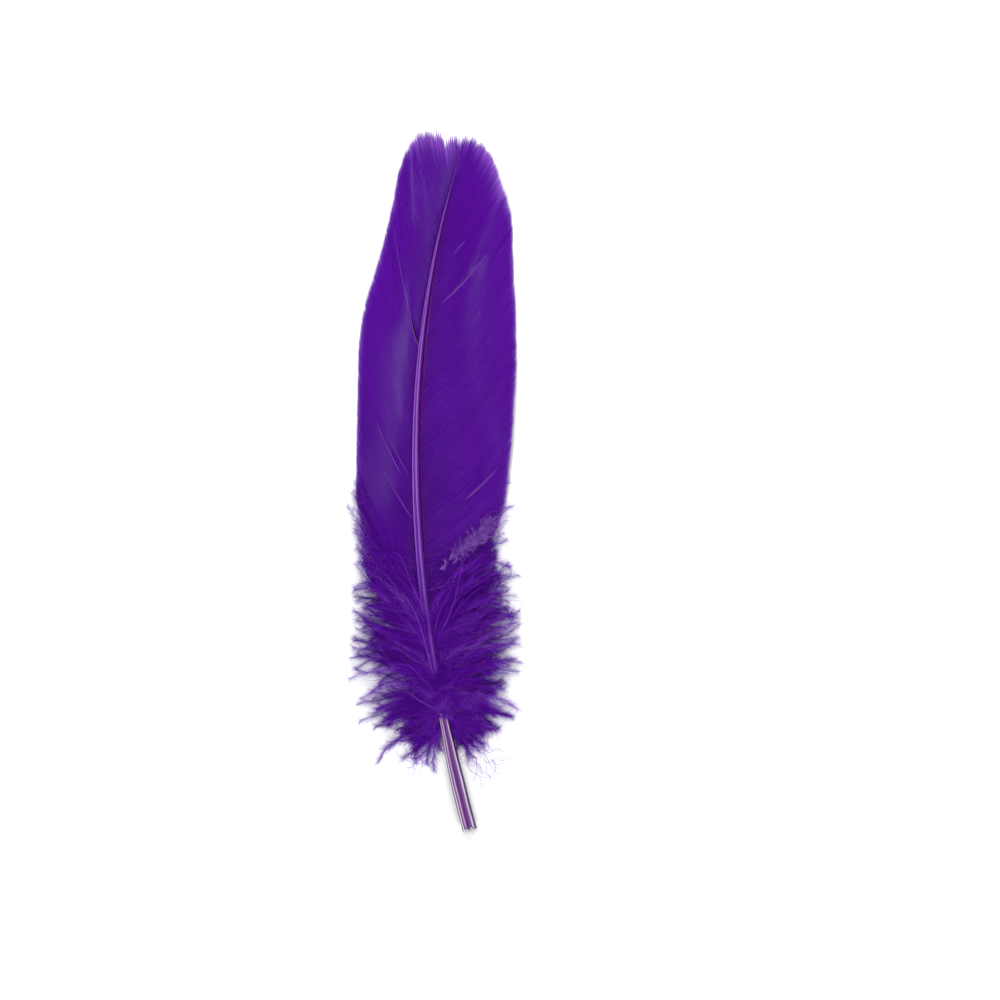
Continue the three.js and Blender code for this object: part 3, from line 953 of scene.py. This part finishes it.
def down_material(name, stops):
    material, nodes, links = new_material(name)
    shader = nodes["Principled BSDF"]
    dye = ramp(nodes, stops)
    links.new(share_of(nodes, "tone"), dye.inputs["Fac"])
    worn = ramp(nodes, [(0.6, (0, 0, 0)), (1.0, (0.16, 0.16, 0.16))])
    links.new(share_of(nodes, "loose"), worn.inputs["Fac"])
    colour = mix_colour(nodes, links, worn.outputs["Color"], dye.outputs["Color"], srgb(140, 84, 198))
    links.new(colour, shader.inputs["Base Color"])
    shader.inputs["Roughness"].default_value = 0.7
    shader.inputs["Specular IOR Level"].default_value = 0.04
    return material


def stripes(nodes, links, around, scale, stops):
    """A colour from the place around the shaft, with edges that waver a little along it."""
    waver = 0.04
    sway = nodes.new("ShaderNodeMath")
    sway.operation = "MULTIPLY_ADD"
    sway.inputs[1].default_value = waver
    links.new(streaks(nodes, links, scale, 2), sway.inputs[0])
    links.new(around, sway.inputs[2])
    node = ramp(nodes, [(at + waver / 2, colour) for at, colour in stops])
    links.new(sway.outputs["Value"], node.inputs["Fac"])
    return node.outputs["Color"]


def shaft_material(name):
    material, nodes, links = new_material(name)
    shader = nodes["Principled BSDF"]
    around, lengthways = split_uv(nodes, links)
    # Light and dark lines run along the shaft, here from its right side over its back to its left: partly
    # its ridges and furrows, and partly a painted highlight near the top and another on the left flank,
    # where the light falls.
    ridges_and_highlights = stripes(nodes, links, around, (3, 16), [
        (0.09, srgb(100, 50, 158)),
        (0.158, srgb(80, 32, 124)),
        (0.2, srgb(120, 76, 158)),
        (0.231, srgb(150, 108, 188)),
        (0.256, srgb(78, 30, 120)),
        (0.272, srgb(100, 52, 150)),
        (0.305, srgb(62, 14, 110)),
        (0.355, srgb(158, 100, 214)),
        (0.41, srgb(152, 94, 208)),
        (0.45, srgb(60, 14, 104)),
    ])
    dyed = ramp(nodes, [
        (0.0, (0.6, 0.42, 0.7)),
        (0.2, (0.66, 0.44, 0.8)),
        (0.42, (1, 0.88, 1)),
        (0.85, (0.92, 0.74, 0.95)),
        (1.0, (0.7, 0.42, 0.8)),
    ])
    links.new(lengthways, dyed.inputs["Fac"])
    grain = ramp(nodes, [(0.3, (0.84, 0.8, 0.88)), (0.7, (1.12, 1.12, 1.1))])
    links.new(streaks(nodes, links, (40, 12), 4), grain.inputs["Fac"])
    colour = mix_colour(nodes, links, 1.0, ridges_and_highlights, dyed.outputs["Color"], "MULTIPLY")
    colour = mix_colour(nodes, links, 1.0, colour, grain.outputs["Color"], "MULTIPLY")
    links.new(colour, shader.inputs["Base Color"])
    shader.inputs["Roughness"].default_value = 0.34
    shader.inputs["Specular IOR Level"].default_value = 0.1
    return material


def quill_material(name):
    material, nodes, links = new_material(name)
    shader = nodes["Principled BSDF"]
    around = split_uv(nodes, links)[0]
    # Round the quill, painted reflections make its bright lines and painted shade makes its dark edges, as
    # a clear tube shows them; between them lies its own mauve tint.
    dye = stripes(nodes, links, around, (2, 9), [
        (0.115, srgb(50, 20, 76)),
        (0.15, srgb(240, 218, 240)),
        (0.176, srgb(130, 90, 147)),
        (0.25, srgb(88, 44, 112)),
        (0.292, srgb(104, 62, 126)),
        (0.31, srgb(208, 178, 208)),
        (0.332, srgb(121, 84, 138)),
        (0.366, srgb(133, 98, 150)),
        (0.388, srgb(242, 222, 244)),
        (0.418, srgb(82, 52, 96)),
        (0.5, srgb(58, 28, 80)),
    ])
    grain = ramp(nodes, [(0.3, (0.84, 0.82, 0.86)), (0.7, (1.1, 1.1, 1.1))])
    links.new(streaks(nodes, links, (30, 8), 4), grain.inputs["Fac"])
    colour = mix_colour(nodes, links, 1.0, dye, grain.outputs["Color"], "MULTIPLY")
    links.new(colour, shader.inputs["Base Color"])
    shader.inputs["Roughness"].default_value = 0.2
    shader.inputs["IOR"].default_value = 1.54
    shader.inputs["Specular IOR Level"].default_value = 0.3
    shader.inputs["Transmission Weight"].default_value = 0.1
    return material


def floor_material(name):
    material, nodes, _ = new_material(name)
    shader = nodes["Principled BSDF"]
    shader.inputs["Base Color"].default_value = (0.92, 0.92, 0.92, 1)
    shader.inputs["Roughness"].default_value = 0.9
    shader.inputs["Specular IOR Level"].default_value = 0.1
    return material


# The feather
DOWN_DYE = [
    (0.0, srgb(90, 10, 158)),
    (0.7, srgb(110, 15, 185)),
    (0.93, srgb(122, 27, 196)),
    (1.0, srgb(156, 92, 212)),
]
TUFT_DYE = [
    (0.0, srgb(112, 48, 178)),
    (1.0, srgb(176, 122, 220)),
]
down_dyed = down_material("down_dyed", DOWN_DYE)
tuft_dyed = down_material("tuft_pale", TUFT_DYE)
dressed = [
    # The colours given to the vanes are painted shade beside the shaft, and on the right vane the shaft's
    # painted shadow.
    (make_vane("vane_right", RIGHT_BARBS, 1), "vane", vane_material("vane_right_dye_and_painted_shade", srgb(72, 4, 98))),
    (make_vane("vane_left", LEFT_BARBS, -1), "vane", vane_material("vane_left_dye_and_painted_shade", srgb(58, 7, 104))),
    (make_fluff("down_right_under", strand_lines(1, "under"), BARBULES), "down", down_dyed),
    (make_fluff("down_left_under", strand_lines(-1, "under"), BARBULES), "down", down_dyed),
    (make_fluff("down_right_over", strand_lines(1, "over"), BARBULES), "down", down_dyed),
    (make_fluff("down_left_over", strand_lines(-1, "over"), BARBULES), "down", down_dyed),
    (make_fluff("down_right_fringe", fringe_lines(RIGHT_BARBS, 1), FRINGE_BARBULES), "down", down_dyed),
    (make_fluff("down_left_fringe", fringe_lines(LEFT_BARBS, -1), FRINGE_BARBULES), "down", down_dyed),
    (make_fluff("down_collar", collar_lines(), COLLAR_BARBULES), "down", down_dyed),
    (make_fluff("down_foot", foot_lines(), FOOT_BARBULES), "down", down_dyed),
    (make_strays("down_strays", stray_lines()), "down", down_dyed),
    (make_strays("down_right_hairs", strand_lines(1, "hairs")), "down", down_dyed),
    (make_strays("down_left_hairs", strand_lines(-1, "hairs")), "down", down_dyed),
    (make_fluff("tuft", tuft_lines(), TUFT_BARBULES, TUFT_SPREAD, TUFT_GIRTH), "down", tuft_dyed),
    (make_rachis("rachis"), "shaft", shaft_material("rachis_keratin")),
    (make_quill("quill"), "quill", quill_material("quill_clear")),
]
for piece, slot, material in dressed:
    piece.data.materials.append(material)
    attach(piece, "root")
    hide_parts("feather")

# Floor, light and camera
half_floor = FLOOR_SIZE / 2 / MM
corner = np.array([(-1, -1, 0), (1, -1, 0), (1, 1, 0), (-1, 1, 0)]) * half_floor
floor = mesh_object("floor", corner, np.array([[0, 1, 2, 3]]))
floor.data.materials.append(floor_material("floor_pale"))


def area_light(name, place, size, power):
    """A square light that faces the origin."""
    data = bpy.data.lights.new(name, "AREA")
    data.shape = "SQUARE"
    data.size = size
    data.energy = power
    light = bpy.data.objects.new(name, data)
    light.location = place
    aim = -light.location
    light.rotation_euler = aim.to_track_quat("-Z", "Y").to_euler()
    bpy.context.scene.collection.objects.link(light)


for light_name, (place, size, power) in LIGHTS.items():
    area_light(light_name, place, size, power)

world = bpy.data.worlds.new("studio")
world.use_nodes = True
background = world.node_tree.nodes["Background"]
background.inputs["Color"].default_value = (1, 1, 1, 1)
background.inputs["Strength"].default_value = WORLD_STRENGTH
bpy.context.scene.world = world
bpy.context.scene.view_settings.view_transform = "Standard"

camera_data = bpy.data.cameras.new("camera")
camera_data.lens = LENS
camera_data.sensor_width = SENSOR
camera = bpy.data.objects.new("camera", camera_data)
distance = VIEW_WIDTH * LENS / SENSOR
camera.location = (VIEW_CENTRE[0] * MM, VIEW_CENTRE[1] * MM, distance * MM)
bpy.context.scene.collection.objects.link(camera)
bpy.context.scene.camera = camera
